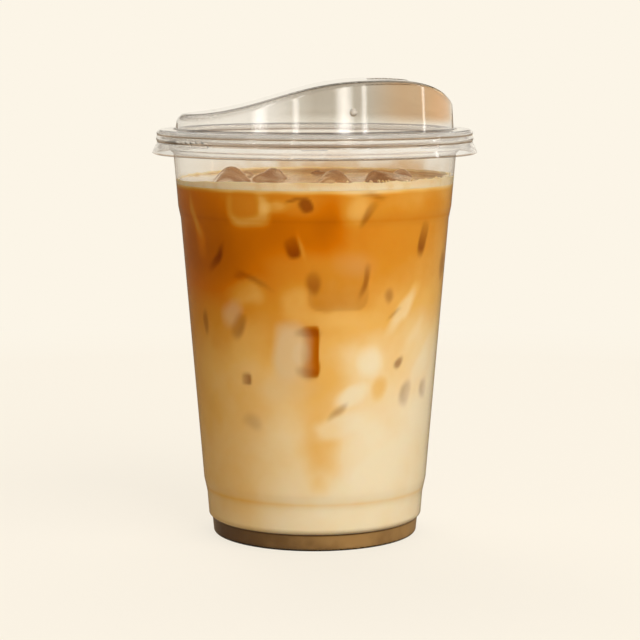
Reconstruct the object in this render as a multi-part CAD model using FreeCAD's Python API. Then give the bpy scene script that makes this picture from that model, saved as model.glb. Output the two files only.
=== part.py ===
"""Iced latte in a clear cup: thin-walled cup, press-on sip lid, drink layers and floating ice, in millimetres.

The cup stands on Z = 0 with its axis on Z. The lid's raised sip side points to +X. Everything that touches
is worked out from the same few sizes: the drink from the cup's inner face, the lid from the cup's rolled rim.
"""

import FreeCAD, Part

import math
import os

from FreeCAD import Placement, Rotation, Vector

# ---- Driving dimensions -------------------------------------------------------------------------------

CUP_HEIGHT = 124.0          # table to the top of the rolled rim
RIM_RADIUS = 47.3           # outside of the rolled rim
RIM_ROLL = 1.65             # outer radius of the roll's section
ROLL_TURN = 260.0           # degrees that the rim's edge curls round
CUP_WALL = 0.6

FOOT_RADIUS = 31.45         # outside of the foot at the table
FOOT_HEIGHT = 5.0
FOOT_LEAN = 0.5             # how far the foot leans out over its height
FOOT_SHOULDER = 1.0         # step from the foot out to the heel band
SHOULDER_HEIGHT = 0.8
HEEL_TOP = 12.6             # top of the heel band, where the stacking step starts
HEEL_LEAN = 0.52
STEP_HEIGHT = 4.6           # height of the sloping stacking step
STEP_OUT = 0.98             # how far that step goes out
BASE_PUSH_UP = 1.8          # hollow under the floor
STAND_RING = 1.6            # width of the ring that the cup stands on, with its rounded edges

BAND_DROP = 26.5            # rim top to the lower edge of the wider band
BAND_STEP_HEIGHT = 3.7
BAND_STEP_OUT = 0.45        # on top of the wall's own lean
NECK_DROP = 6.8             # rim top to the ledge under the rim
LEDGE_HEIGHT = 1.4
LEDGE_OUT = 1.5

WIDE_BEND = 2.3             # roundings of the cup's gentle steps, its corners and its tight folds
BEND = 0.9
FOOT_BEND = 0.72            # outer edge of the ring that the cup stands on
TIGHT_BEND = 0.4

SYRUP_TOP = 5.4             # top of the dark layer in the foot
DRINK_DROP = 15.7           # rim top to the drink's surface
FOAM_THICKNESS = 1.3

LID_WALL = 0.5
LID_FIT = 0.2               # radial gap between the skirt and the rim, and between the plug and the mouth
SKIRT_DROP = 6.65           # rim top to the skirt's lower edge
SKIRT_FLARE = 1.5           # how far that edge flares out
SKIRT_RIBS = (              # ribs of the skirt: share of the drop, and how far out
    (0.72, 0.75), (0.50, 0.0), (0.33, 0.4), (0.18, 0.0), (0.07, 0.25),
)
CREST_INSET = 0.45          # how far the skirt's top edge slopes in to the flat crest
PLUG_DEPTH = 3.5            # how far the lid's inner channel reaches down inside the mouth
GROOVE_WIDTH = 1.0          # gap between the channel and the dome
DOME_DRAFT = 0.065          # inward lean of the dome's wall, mm per mm of height
DOME_LOW = 5.6              # height of the flat side's top over the rim top
DOME_HIGH = 15.6            # height of the sip side's top over the rim top
DOME_LINE = (               # the top from the flat side to the sip side: shares of the radius and of the rise
    (-1.12, 0.0), (-0.8, 0.0), (-0.63, 0.11), (-0.36, 0.4), (-0.09, 0.73), (0.18, 0.945), (0.4, 1.0),
    (0.62, 0.98), (0.78, 0.86), (0.9, 0.62), (0.985, 0.26), (1.05, -0.2),
)
SOFT_EDGE_LOW = 0.7         # rounding of the dome's top edge at the flat side
SOFT_EDGE_HIGH = 3.0        # and at the sip side
SIP_LENGTH = 22.0           # drinking hole, along Y
SIP_WIDTH = 8.0             # and along X
SIP_PLACE = 22.0            # its middle's distance from the axis
SIP_END = 0.45              # rounding of its ends, as a share of its width
SIP_BORDER = 2.2            # flat recessed border round the hole
SIP_RECESS = 1.1            # how deep the border lies under the dome's highest line
VENT_RADIUS = 0.8
VENT_PLACE = 31.0
NUB_RADIUS = 1.2            # small moulded nub on the front of the dome
NUB_HEIGHT = 0.8
NUB_TURN = 15.5             # degrees from the front (-Y) towards the sip side
NUB_LEVEL = 6.6             # height over the rim top
LUG_COUNT = 8               # inward snap lugs under the rolled rim
LUG_SPAN = 9.0              # degrees round the skirt
LUG_BEAD = 0.5              # radius of a lug's rounded bead
LUG_BITE = 0.4              # how far a lug reaches under the roll
LUG_GAP = 0.35              # from the roll's underside down to the bead's middle

ICE_SIDE = 16.0
ICE_EDGE = 3.7              # melted rounding of a cube's edges
ICE_GAP = 0.3               # least gap between an outer cube and the cup

# Floating cubes: turn round the axis and share of the free radius, then tilts, then how far the top stands
# out of the drink, and the cube's size against ICE_SIDE.
FLOATING_ICE = (
    {"turn": 210, "out": 1.00, "tilt": (24, 42, 8), "rise": 5.6, "size": 1.00},
    {"turn": 180, "out": 0.47, "tilt": (20, 47, -14), "rise": 4.4, "size": 0.94},
    {"turn": 281, "out": 0.96, "tilt": (18, 43, 5), "rise": 5.4, "size": 1.00},
    {"turn": 326, "out": 1.00, "tilt": (11, 9, 24), "rise": 4.4, "size": 1.06},
    {"turn": 20, "out": 0.95, "tilt": (24, 47, 5), "rise": 3.4, "size": 1.00},
    {"turn": 78, "out": 0.97, "tilt": (9, 17, 40), "rise": 2.2, "size": 1.04},
    {"turn": 138, "out": 0.98, "tilt": (44, 21, 75), "rise": 2.4, "size": 0.98},
)

# ---- Sizes that follow --------------------------------------------------------------------------------

ROLL_CENTRE = Vector(RIM_RADIUS - RIM_ROLL, 0, CUP_HEIGHT - RIM_ROLL)
MOUTH_RADIUS = RIM_RADIUS - 2 * RIM_ROLL
NECK_RADIUS = MOUTH_RADIUS + CUP_WALL
BAND_BOTTOM = CUP_HEIGHT - BAND_DROP
BAND_START = BAND_BOTTOM + BAND_STEP_HEIGHT
BAND_TOP = CUP_HEIGHT - NECK_DROP
STEP_TOP = HEEL_TOP + STEP_HEIGHT
HEEL_RADIUS = FOOT_RADIUS + FOOT_LEAN + FOOT_SHOULDER
WALL_RADIUS = HEEL_RADIUS + HEEL_LEAN + STEP_OUT        # outside of the long wall where it starts
WALL_SLOPE = (NECK_RADIUS - LEDGE_OUT - BAND_STEP_OUT - WALL_RADIUS) / (BAND_TOP - STEP_TOP)
DRINK_LEVEL = CUP_HEIGHT - DRINK_DROP

PLUG_RADIUS = MOUTH_RADIUS - LID_FIT                    # outside of the channel that plugs the mouth
DOME_RADIUS = PLUG_RADIUS - LID_WALL - GROOVE_WIDTH     # outside of the dome at its foot
LID_TOP = CUP_HEIGHT + LID_WALL                         # top of the channel over the rim
SKIRT_RADIUS = RIM_RADIUS + LID_FIT + LID_WALL
DOME_TOP = CUP_HEIGHT + DOME_HIGH

LEAST_BEND = 0.15           # smallest rounding, about what a mould gives
FAR = 200.0                 # larger than the whole object
PAST = 1.0                  # how far a cutting form runs past what it cuts
UPRIGHT = 0.9               # an edge with more of its way than this along Z counts as upright


# ---- Flat outlines ------------------------------------------------------------------------------------

def corner(radius, height, rounding=0.0):
    """A corner of an outline in the XZ plane, with the rounding it gets."""
    return Vector(radius, 0, height), rounding


def wall_radius(height):
    """Outside radius of the long wall at a height."""
    return WALL_RADIUS + WALL_SLOPE * (height - STEP_TOP)


def shifted(corners, distance):
    """The open outline moved sideways to its left by a distance, with its roundings kept concentric."""
    points = [point for point, _ in corners]
    ways = [(b - a).normalize() for a, b in zip(points, points[1:])]
    lefts = [Vector(-way.z, 0, way.x) for way in ways]
    moved = [(points[0] + lefts[0] * distance, 0.0)]
    for index in range(1, len(points) - 1):
        before, after = lefts[index - 1], lefts[index]
        place = points[index] + (before + after) * (distance / (1 + before.dot(after)))
        turn = ways[index - 1].x * ways[index].z - ways[index - 1].z * ways[index].x
        rounding = corners[index][1] - math.copysign(distance, turn)
        moved.append((place, max(rounding, LEAST_BEND) if corners[index][1] else 0.0))
    moved.append((points[-1] + lefts[-1] * distance, 0.0))
    return moved


def outline_edges(corners):
    """Straight and arc edges through the corners of an open outline."""
    edges, start = [], corners[0][0]
    for index in range(1, len(corners) - 1):
        point, rounding = corners[index]
        if not rounding:
            edges.append(Part.makeLine(start, point))
            start = point
            continue
        back = (corners[index - 1][0] - point).normalize()
        ahead = (corners[index + 1][0] - point).normalize()
        half = back.getAngle(ahead) / 2
        run = rounding / math.tan(half)
        middle = point + (back + ahead).normalize() * (rounding / math.sin(half) - rounding)
        edges.append(Part.makeLine(start, point + back * run))
        edges.append(Part.Arc(point + back * run, middle, point + ahead * run).toShape())
        start = point + ahead * run
    edges.append(Part.makeLine(start, corners[-1][0]))
    return edges


def turned(edges, degrees=360.0):
    """Solid of revolution about Z from the edges of a closed outline in the XZ plane."""
    face = Part.Face(Part.Wire(Part.sortEdges(edges)[0]))
    solid = face.revolve(Vector(0, 0, 0), Vector(0, 0, 1), degrees)
    return solid if solid.Volume > 0 else solid.reversed()


def slab(bottom, top):
    """A wide flat block between two heights."""
    return Part.makeBox(2 * FAR, 2 * FAR, top - bottom, Vector(-FAR, -FAR, bottom))


# ---- Cup ----------------------------------------------------------------------------------------------

def cup_outside():
    """Outline of the cup's outer face, from the floor's middle out and up to the start of the roll."""
    inner_ring = FOOT_RADIUS - STAND_RING
    band = wall_radius(BAND_START) + BAND_STEP_OUT
    return [
        corner(0, BASE_PUSH_UP),
        corner(inner_ring - BASE_PUSH_UP, BASE_PUSH_UP, BEND),
        corner(inner_ring, 0, BEND),
        corner(FOOT_RADIUS, 0, FOOT_BEND),
        corner(FOOT_RADIUS + FOOT_LEAN, FOOT_HEIGHT, TIGHT_BEND),
        corner(HEEL_RADIUS, FOOT_HEIGHT + SHOULDER_HEIGHT, BEND),
        corner(HEEL_RADIUS + HEEL_LEAN, HEEL_TOP, WIDE_BEND),
        corner(WALL_RADIUS, STEP_TOP, WIDE_BEND),
        corner(wall_radius(BAND_BOTTOM), BAND_BOTTOM, WIDE_BEND),
        corner(band, BAND_START, WIDE_BEND),
        corner(NECK_RADIUS - LEDGE_OUT, BAND_TOP, BEND),
        corner(NECK_RADIUS, BAND_TOP + LEDGE_HEIGHT, BEND),
        corner(NECK_RADIUS, ROLL_CENTRE.z),
    ]


def roll_arc(radius):
    """Arc of the rolled rim's section, from the neck over the top to the roll's end."""
    end = math.radians(180 - ROLL_TURN)
    angles = (math.pi, (math.pi + end) / 2, end)
    return Part.Arc(*(ROLL_CENTRE + Vector(math.cos(a), 0, math.sin(a)) * radius for a in angles)).toShape()


def make_cup():
    """The thin-walled cup with its foot, stacking steps and rolled rim."""
    outside = cup_outside()
    inside = shifted(outside, CUP_WALL)
    inner_arc, outer_arc = roll_arc(RIM_ROLL - CUP_WALL), roll_arc(RIM_ROLL)
    closing = [
        Part.makeLine(inner_arc.Vertexes[-1].Point, outer_arc.Vertexes[-1].Point),
        Part.makeLine(outside[0][0], inside[0][0]),
    ]
    return turned(outline_edges(outside) + [inner_arc, outer_arc] + outline_edges(inside) + closing)


def make_cavity():
    """The cup's inside as one solid, from its floor to the rim."""
    inside = shifted(cup_outside(), CUP_WALL)
    top = Vector(0, 0, inside[-1][0].z)
    lid_line = Part.makeLine(inside[-1][0], top)
    return turned(outline_edges(inside) + [lid_line, Part.makeLine(top, inside[0][0])])


# ---- Drink and ice ------------------------------------------------------------------------------------

def ice_cube(side, tilt):
    """A cube with melted edges, tilted, about the origin."""
    cube = Part.makeBox(side, side, side, Vector(-side / 2, -side / 2, -side / 2))
    cube = cube.makeFillet(ICE_EDGE, cube.Edges)
    roll, pitch, yaw = tilt
    cube.Placement = Placement(Vector(0, 0, 0), Rotation(yaw, pitch, roll))
    return cube


def make_ice():
    """The floating cubes, clear of the cup, each with its top at its own height. Crowded ones freeze face to face."""
    cubes = []
    cup_inside = wall_radius(DRINK_LEVEL - ICE_SIDE / 2) - CUP_WALL
    for ice in FLOATING_ICE:
        side = ICE_SIDE * ice["size"]
        cube = ice_cube(side, ice["tilt"])
        reach = math.sqrt(3) * (side / 2 - ICE_EDGE) + ICE_EDGE
        free_radius = cup_inside - reach - ICE_GAP
        turn = math.radians(ice["turn"])
        place = Vector(math.cos(turn), math.sin(turn), 0) * (free_radius * ice["out"])
        place.z = DRINK_LEVEL + ice["rise"] - cube.BoundBox.ZMax
        cube.translate(place)
        frozen = [other for other in cubes if other.BoundBox.intersect(cube.BoundBox)]
        cubes.append(cube.cut(frozen) if frozen else cube)
    return cubes


def make_layers(cavity, cubes):
    """Syrup, milk coffee and foam: slices of the cup's inside, cut round the ice."""
    foam_top = DRINK_LEVEL + FOAM_THICKNESS
    levels = {"syrup": (0, SYRUP_TOP), "latte": (SYRUP_TOP, DRINK_LEVEL), "foam": (DRINK_LEVEL, foam_top)}
    layers = {}
    for name, (bottom, top) in levels.items():
        layer = cavity.common(slab(bottom, top))
        layers[name] = layer if name == "syrup" else layer.cut(cubes)
    return layers


# ---- Lid ----------------------------------------------------------------------------------------------

def ring_outside():
    """Outer outline of the skirt and channel: up the ribbed skirt, over the rim, down the groove, up the dome."""
    ribs = [corner(SKIRT_RADIUS + out, CUP_HEIGHT - share * SKIRT_DROP, TIGHT_BEND) for share, out in SKIRT_RIBS]
    channel, floor = PLUG_RADIUS - LID_WALL, CUP_HEIGHT - PLUG_DEPTH
    return [
        corner(SKIRT_RADIUS + SKIRT_FLARE, CUP_HEIGHT - SKIRT_DROP),
        *ribs,
        corner(SKIRT_RADIUS - CREST_INSET, LID_TOP, BEND),
        corner(channel, LID_TOP, TIGHT_BEND),
        corner(channel, floor, TIGHT_BEND),
        corner(DOME_RADIUS, floor, TIGHT_BEND),
        corner(DOME_RADIUS, LID_TOP),
    ]


def top_line(inset):
    """The dome's S-shaped top as seen from the front, moved in by inset: flat, rising, crowned, then falling."""
    low, rise = CUP_HEIGHT + DOME_LOW, DOME_HIGH - DOME_LOW
    places = [Vector(DOME_RADIUS * x, 0, low + rise * z) for x, z in DOME_LINE]
    curve = Part.BSplineCurve()
    curve.interpolate(places)
    if inset:
        ways = [curve.tangent(curve.parameter(place))[0] for place in places]
        curve = Part.BSplineCurve()
        curve.interpolate([place + Vector(way.z, 0, -way.x) * inset for place, way in zip(places, ways)])
    return curve


def rounded_slot(length, width, bottom, top):
    """An upright block with half-round ends, long in Y, round the drinking hole's place."""
    block = Part.makeBox(width, length, top - bottom, Vector(SIP_PLACE - width / 2, -length / 2, bottom))
    upright = [edge for edge in block.Edges if abs(edge.tangentAt(edge.FirstParameter).z) > UPRIGHT]
    return block.makeFillet(SIP_END * width, upright)


def dome_form(inset):
    """The dome as a full solid, moved in by inset all over: drafted wall, S-shaped top, softened top edge."""
    foot, tip = LID_TOP, DOME_TOP + PAST
    radius = DOME_RADIUS - inset
    section = [Vector(0, 0, foot), Vector(radius, 0, foot),
               Vector(radius - DOME_DRAFT * (tip - foot), 0, tip), Vector(0, 0, tip)]
    half = turned([Part.makeLine(a, b) for a, b in zip(section, section[1:] + section[:1])], 180)
    curve = top_line(inset)
    ends = [curve.StartPoint, curve.EndPoint]
    floor = [Vector(end.x, 0, foot - PAST) for end in ends]
    outline = [curve.toShape(), Part.makeLine(ends[1], floor[1]), Part.makeLine(floor[1], floor[0]),
               Part.makeLine(floor[0], ends[0])]
    under = Part.Face(Part.Wire(Part.sortEdges(outline)[0])).extrude(Vector(0, FAR, 0))
    half = half.common(under)
    for edge in [edge for edge in half.Edges if is_top_edge(edge)]:
        low, high = (max(soft - inset, LEAST_BEND) for soft in (SOFT_EDGE_LOW, SOFT_EDGE_HIGH))
        if edge.firstVertex(True).X > edge.lastVertex(True).X:
            low, high = high, low
        half = half.makeFillet(low, high, [edge])
    whole = half.fuse(half.mirror(Vector(0, 0, 0), Vector(0, 1, 0))).removeSplitter()
    border = rounded_slot(SIP_LENGTH + 2 * (SIP_BORDER + inset), SIP_WIDTH + 2 * (SIP_BORDER + inset),
                          DOME_TOP - SIP_RECESS - inset, tip)
    return whole.cut(border)


def is_top_edge(edge):
    """True for the long curved edge between the dome's wall and its top, which leaves the XZ plane."""
    box = edge.BoundBox
    return box.YLength > DOME_RADIUS / 2 and box.ZLength > (DOME_HIGH - DOME_LOW) / 2


def make_nub():
    """A ball whose cap stands out of the dome's wall."""
    ball = (NUB_RADIUS ** 2 + NUB_HEIGHT ** 2) / (2 * NUB_HEIGHT)
    wall = DOME_RADIUS - DOME_DRAFT * (NUB_LEVEL - LID_WALL)
    turn = math.radians(NUB_TURN - 90)
    out = Vector(math.cos(turn), math.sin(turn), 0) * (wall + NUB_HEIGHT - ball)
    return Part.makeSphere(ball, out + Vector(0, 0, CUP_HEIGHT + NUB_LEVEL))


def make_lugs():
    """Short beads inside the skirt that catch under the rolled rim."""
    middle = Vector(RIM_RADIUS - LUG_BITE + LUG_BEAD, 0, CUP_HEIGHT - 2 * RIM_ROLL - LUG_GAP)
    lugs = []
    for index in range(LUG_COUNT):
        lug = turned([Part.makeCircle(LUG_BEAD, middle, Vector(0, 1, 0))], LUG_SPAN)
        lug.rotate(Vector(0, 0, 0), Vector(0, 0, 1), 360 * index / LUG_COUNT - LUG_SPAN / 2)
        lugs.append(lug)
    return lugs


def make_lid():
    """The press-on lid: ribbed skirt, channel over the rim, and a hollow dome with its drinking hole."""
    outside = ring_outside()
    inside = shifted(outside, LID_WALL)
    ends = [Part.makeLine(outside[0][0], inside[0][0]), Part.makeLine(outside[-1][0], inside[-1][0])]
    ring = turned(outline_edges(outside) + outline_edges(inside) + ends)
    dome = dome_form(0).fuse(make_nub()).cut(dome_form(LID_WALL))
    above = slab(LID_TOP, LID_TOP + FAR)
    lid = ring.fuse([dome.common(above)] + make_lugs())
    holes = [
        rounded_slot(SIP_LENGTH, SIP_WIDTH, CUP_HEIGHT, CUP_HEIGHT + FAR),
        Part.makeCylinder(VENT_RADIUS, FAR, Vector(-VENT_PLACE, 0, CUP_HEIGHT)),
    ]
    return lid.cut(holes).removeSplitter()


# ---- Build --------------------------------------------------------------------------------------------

def main():
    """Build every piece and write one STEP file for each."""
    os.makedirs("parts", exist_ok=True)
    cubes = make_ice()
    pieces = {"cup": make_cup(), "lid": make_lid()}
    pieces.update(make_layers(make_cavity(), cubes))
    for index, cube in enumerate(cubes, start=1):
        pieces["ice_%d" % index] = cube
    for name, shape in pieces.items():
        solids = shape.Solids
        if len(solids) != 1 or not solids[0].isValid():
            raise ValueError("%s is not one valid solid" % name)
        solids[0].exportStep("parts/%s.step" % name)
        print("%-6s volume %9.1f mm3, top %6.2f" % (name, solids[0].Volume, solids[0].BoundBox.ZMax))


main()
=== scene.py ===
import logging
import math
from dataclasses import dataclass, replace
from enum import Enum

import bmesh
import bpy
import numpy as np
from mathutils import Matrix, Vector, noise


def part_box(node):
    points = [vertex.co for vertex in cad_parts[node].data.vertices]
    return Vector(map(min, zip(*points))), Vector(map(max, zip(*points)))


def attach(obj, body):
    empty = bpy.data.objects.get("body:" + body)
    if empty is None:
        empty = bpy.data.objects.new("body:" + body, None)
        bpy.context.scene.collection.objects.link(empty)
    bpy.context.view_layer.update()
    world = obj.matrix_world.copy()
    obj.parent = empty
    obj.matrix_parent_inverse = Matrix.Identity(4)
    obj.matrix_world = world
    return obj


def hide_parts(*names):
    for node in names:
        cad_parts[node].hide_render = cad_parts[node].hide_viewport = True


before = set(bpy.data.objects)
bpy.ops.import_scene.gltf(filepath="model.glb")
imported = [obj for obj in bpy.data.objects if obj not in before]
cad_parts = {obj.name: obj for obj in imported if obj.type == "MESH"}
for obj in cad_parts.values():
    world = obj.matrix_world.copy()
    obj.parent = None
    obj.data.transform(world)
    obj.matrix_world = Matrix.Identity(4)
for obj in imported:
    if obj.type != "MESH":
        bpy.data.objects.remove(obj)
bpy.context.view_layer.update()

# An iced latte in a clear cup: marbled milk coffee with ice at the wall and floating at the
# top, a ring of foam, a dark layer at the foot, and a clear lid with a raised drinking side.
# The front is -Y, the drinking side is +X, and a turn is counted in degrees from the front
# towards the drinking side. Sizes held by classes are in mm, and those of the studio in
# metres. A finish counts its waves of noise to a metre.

LOG = logging.getLogger("iced_latte")
MM = 0.001
FULL_TURN = 2 * math.pi
SHARP_TURN = math.radians(50)  # edges that turn further than this are left sharp

Colour = tuple[float, float, float, float]
Span = tuple[float, float]
Stops = tuple[tuple[float, Colour], ...]
Socket = bpy.types.NodeSocket
Feed = Socket | float | Colour  # what can fill a node's input


def tone(red: int, green: int, blue: int) -> Colour:
    """Turn a colour as a screen shows it into the linear colour that a shader takes.

    Args:
        red: Red, from 0 to 255.
        green: Green, from 0 to 255.
        blue: Blue, from 0 to 255.

    Returns:
        The linear colour, opaque.
    """
    shares = np.array((red, green, blue)) / 255
    linear = np.where(shares <= 0.04045, shares / 12.92, ((shares + 0.055) / 1.055) ** 2.4)
    return (*(float(value) for value in linear), 1.0)


def grey(value: float) -> Colour:
    """Make an opaque grey of a value."""
    return (value, value, value, 1.0)


def metres(span: Span) -> Span:
    """Turn a span in mm into one in metres."""
    return (span[0] * MM, span[1] * MM)


def smooth(low: float, high: float, value: np.ndarray) -> np.ndarray:
    """Rise smoothly from 0 where a value is low to 1 where it is high."""
    share = np.clip((value - low) / (high - low), 0.0, 1.0)
    return share * share * (3 - 2 * share)


def bands(ground: Colour, *rows: tuple[float, float, float, float, Colour]) -> Stops:
    """Lay bands of colour on a ground, as the stops of a ramp.

    Args:
        ground: The colour between the bands.
        rows: For each band, where it starts, is full, stops being full and ends, and its colour.

    Returns:
        The stops.
    """
    stops = []
    for start, full, last, end, colour in rows:
        if full > start:
            stops.append((start, ground))
        stops += [(full, colour), (last, colour), (end, ground)]
    return tuple(stops)


class Graph:
    """A writer of nodes for a material, a world or a lamp."""

    def __init__(self, owner: bpy.types.Material | bpy.types.World | bpy.types.Light) -> None:
        """Empty the owner's node tree.

        Args:
            owner: What the nodes are for.
        """
        owner.use_nodes = True
        self.tree = owner.node_tree
        self.tree.nodes.clear()

    def add(self, kind: str, inputs: dict | None = None, **settings: object) -> bpy.types.Node:
        """Add a node, with its options set and its sockets filled or linked.

        Args:
            kind: The node's type, without ShaderNode.
            inputs: Socket names or numbers, each with a value or an output to link.
            settings: The node's options.

        Returns:
            The new node.
        """
        node = self.tree.nodes.new("ShaderNode" + kind)
        for name, value in settings.items():
            setattr(node, name, value)
        for key, value in (inputs or {}).items():
            if isinstance(value, Socket):
                self.tree.links.new(value, node.inputs[key])
            else:
                node.inputs[key].default_value = value
        return node

    def shader(self, kind: str, inputs: dict) -> Socket:
        """Add a shader and return what it puts out."""
        return self.add(kind, inputs).outputs[0]

    def maths(self, operation: str, first: Feed, second: Feed = 0.0) -> Socket:
        """Add a Math node and return its result."""
        return self.add("Math", {0: first, 1: second}, operation=operation).outputs[0]

    def share(self, value: Feed, low: float, high: float) -> Socket:
        """Map a value evenly from low to high onto 0 to 1."""
        return self.add("MapRange", {0: value, 1: low, 2: high}).outputs[0]

    def rise(self, value: Feed, low: float, high: float) -> Socket:
        """Map a value smoothly from low to high onto 0 to 1."""
        ends = {0: value, 1: low, 2: high}
        return self.add("MapRange", ends, interpolation_type="SMOOTHSTEP").outputs[0]

    def hump(self, value: Feed, rising: Span, falling: Span) -> Socket:
        """Rise from 0 to 1 over one span of a value and fall back over another."""
        return self.maths("SUBTRACT", self.rise(value, *rising), self.rise(value, *falling))

    def blend(self, share: Feed, first: Feed, second: Feed, way: str = "MIX") -> Socket:
        """Mix or multiply two colours by a share."""
        inputs = {0: share, 6: first, 7: second}
        return self.add("Mix", inputs, data_type="RGBA", blend_type=way).outputs[2]

    def ramp(self, share: Feed, stops: Stops) -> Socket:
        """Run a share through a row of colours.

        Args:
            share: The value that picks the colour.
            stops: Places from 0 to 1, each with its colour.

        Returns:
            The colour.
        """
        node = self.add("ValToRGB", {0: share})
        points = node.color_ramp.elements
        while len(points) < len(stops):
            points.new(1.0)
        for point, (place, colour) in zip(points, stops):
            point.position = place
            point.color = colour
        return node.outputs[0]

    def place(self) -> Socket:
        """Read the place in the object's own space."""
        return self.add("TexCoord").outputs["Object"]

    def axes(self, place: Socket) -> tuple[Socket, ...]:
        """Split a place or a direction into x, y and z."""
        return tuple(self.add("SeparateXYZ", {0: place}).outputs)

    def length(self, place: Socket) -> Socket:
        """Measure how far a place is from the origin."""
        return self.add("VectorMath", {0: place}, operation="LENGTH").outputs["Value"]

    def noise(self, waves: float, layers: float = 3.0) -> Socket:
        """Make noise round 0.5 in the object's own space, with finer layers added."""
        return self.add("TexNoise", {"Vector": self.place(), "Scale": waves, "Detail": layers}).outputs[0]

    def attribute(self, name: str) -> Socket:
        """Read a number that the mesh holds at each vertex."""
        return self.add("Attribute", attribute_name=name).outputs["Fac"]

    def edge_on(self) -> Socket:
        """Tell how edge-on a clear surface is seen, from 0 to 1."""
        return self.add("LayerWeight", {"Blend": 0.5}).outputs["Facing"]

    def rays(self, *kinds: str) -> tuple[Socket, ...]:
        """Tell, for each kind of ray, whether it is the one that looks."""
        path = self.add("LightPath").outputs
        return tuple(path[f"Is {kind} Ray"] for kind in kinds)

    def bump(self, height: Feed, depth: float, strength: float = 1.0) -> Socket:
        """Turn a height into a bumped normal, with its depth in mm."""
        return self.add("Bump", {"Height": height, "Distance": depth * MM, "Strength": strength}).outputs[0]

    def finish(self, shader: Socket, kind: str = "OutputMaterial") -> None:
        """Link the shader to the output."""
        self.add(kind, {"Surface": shader})


def blank_material(name: str) -> tuple[bpy.types.Material, Graph]:
    """Make an empty material, with a writer for its nodes."""
    material = bpy.data.materials.new(name)
    return material, Graph(material)


def lets_light_in(graph: Graph, clear: Socket, shade: Colour) -> Socket:
    """Let the light of lamps, floor and backdrop reach what stands behind a clear shader.

    Args:
        graph: The material's nodes.
        clear: The clear shader.
        shade: What the light keeps of its colour on the way through.

    Returns:
        The shader to put out.
    """
    passing = graph.shader("BsdfTransparent", {"Color": shade})
    for ray in graph.rays("Shadow", "Diffuse"):
        clear = graph.shader("MixShader", {0: ray, 1: clear, 2: passing})
    return clear


@dataclass(frozen=True)
class ClearPlastic:
    """Clear pressed plastic, with its own tint over each part of its surface.

    It takes a darker colour edge-on, and turning gives where that starts and is full. Passing is
    what light keeps of its colour on the way through.
    """

    name: str
    shine: float
    ior: float
    milky: float = 0.0
    roughness: float = 0.03
    clear: Colour = (0.93, 0.91, 0.88, 1)
    edge_on: Colour = (0.42, 0.38, 0.35, 1)
    passing: Colour = (0.97, 0.96, 0.94, 1)
    turning: Span = (0.72, 1.0)
    waves: float = 90.0
    wave_depth: float = 0.02

    def tint(self, graph: Graph, across: Socket, height: Socket) -> Feed:
        """Give the plastic's colour from its place across the cup and its height."""
        return self.clear

    def clearness(self, graph: Graph, height: Socket) -> Feed:
        """Give how clear the plastic is, from 0 for white to 1."""
        return 1.0 - self.milky

    def material(self) -> bpy.types.Material:
        """Make the plastic.

        Returns:
            Its material.
        """
        material, graph = blank_material(self.name)
        across, _, height = graph.axes(graph.place())
        turned = graph.rise(graph.edge_on(), *self.turning)
        plastic = graph.shader("BsdfPrincipled", {
            "Base Color": graph.blend(turned, self.tint(graph, across, height), self.edge_on),
            "Roughness": self.roughness, "IOR": self.ior,
            "Transmission Weight": self.clearness(graph, height),
            "Normal": graph.bump(graph.noise(self.waves, 1), self.wave_depth),
            "Specular Tint": grey(self.shine),
        })
        graph.finish(lets_light_in(graph, plastic, self.passing))
        return material


@dataclass(frozen=True)
class CupPlastic(ClearPlastic):
    """The cup's plastic, with a film of coffee where the drink has washed over it above its surface.

    The film comes in over its foot and its left, and dies away over its head and its right.
    """

    clear: Colour = (0.92, 0.91, 0.89, 1)
    edge_on: Colour = (0.56, 0.48, 0.41, 1)
    film: Colour = (0.77, 0.61, 0.44, 1)
    film_foot: Span = (108.0, 111.0)
    film_head: Span = (113.0, 118.0)
    film_left: Span = (-45.0, 0.0)
    film_right: Span = (26.0, 44.0)
    patch_waves: float = 80.0
    patch_ends: Span = (0.35, 0.65)
    thinnest: float = 0.35

    def tint(self, graph: Graph, across: Socket, height: Socket) -> Feed:
        """Give the cup's colour, with the film in patches.

        Args:
            graph: The material's nodes.
            across: The place from left to right.
            height: The height.

        Returns:
            The colour.
        """
        low = graph.hump(height, metres(self.film_foot), metres(self.film_head))
        wide = graph.hump(across, metres(self.film_left), metres(self.film_right))
        patches = graph.rise(graph.noise(self.patch_waves), *self.patch_ends)
        thick = graph.maths("ADD", patches, self.thinnest)
        share = graph.maths("MULTIPLY", graph.maths("MULTIPLY", low, wide), thick)
        return graph.blend(share, self.clear, self.film)


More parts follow.
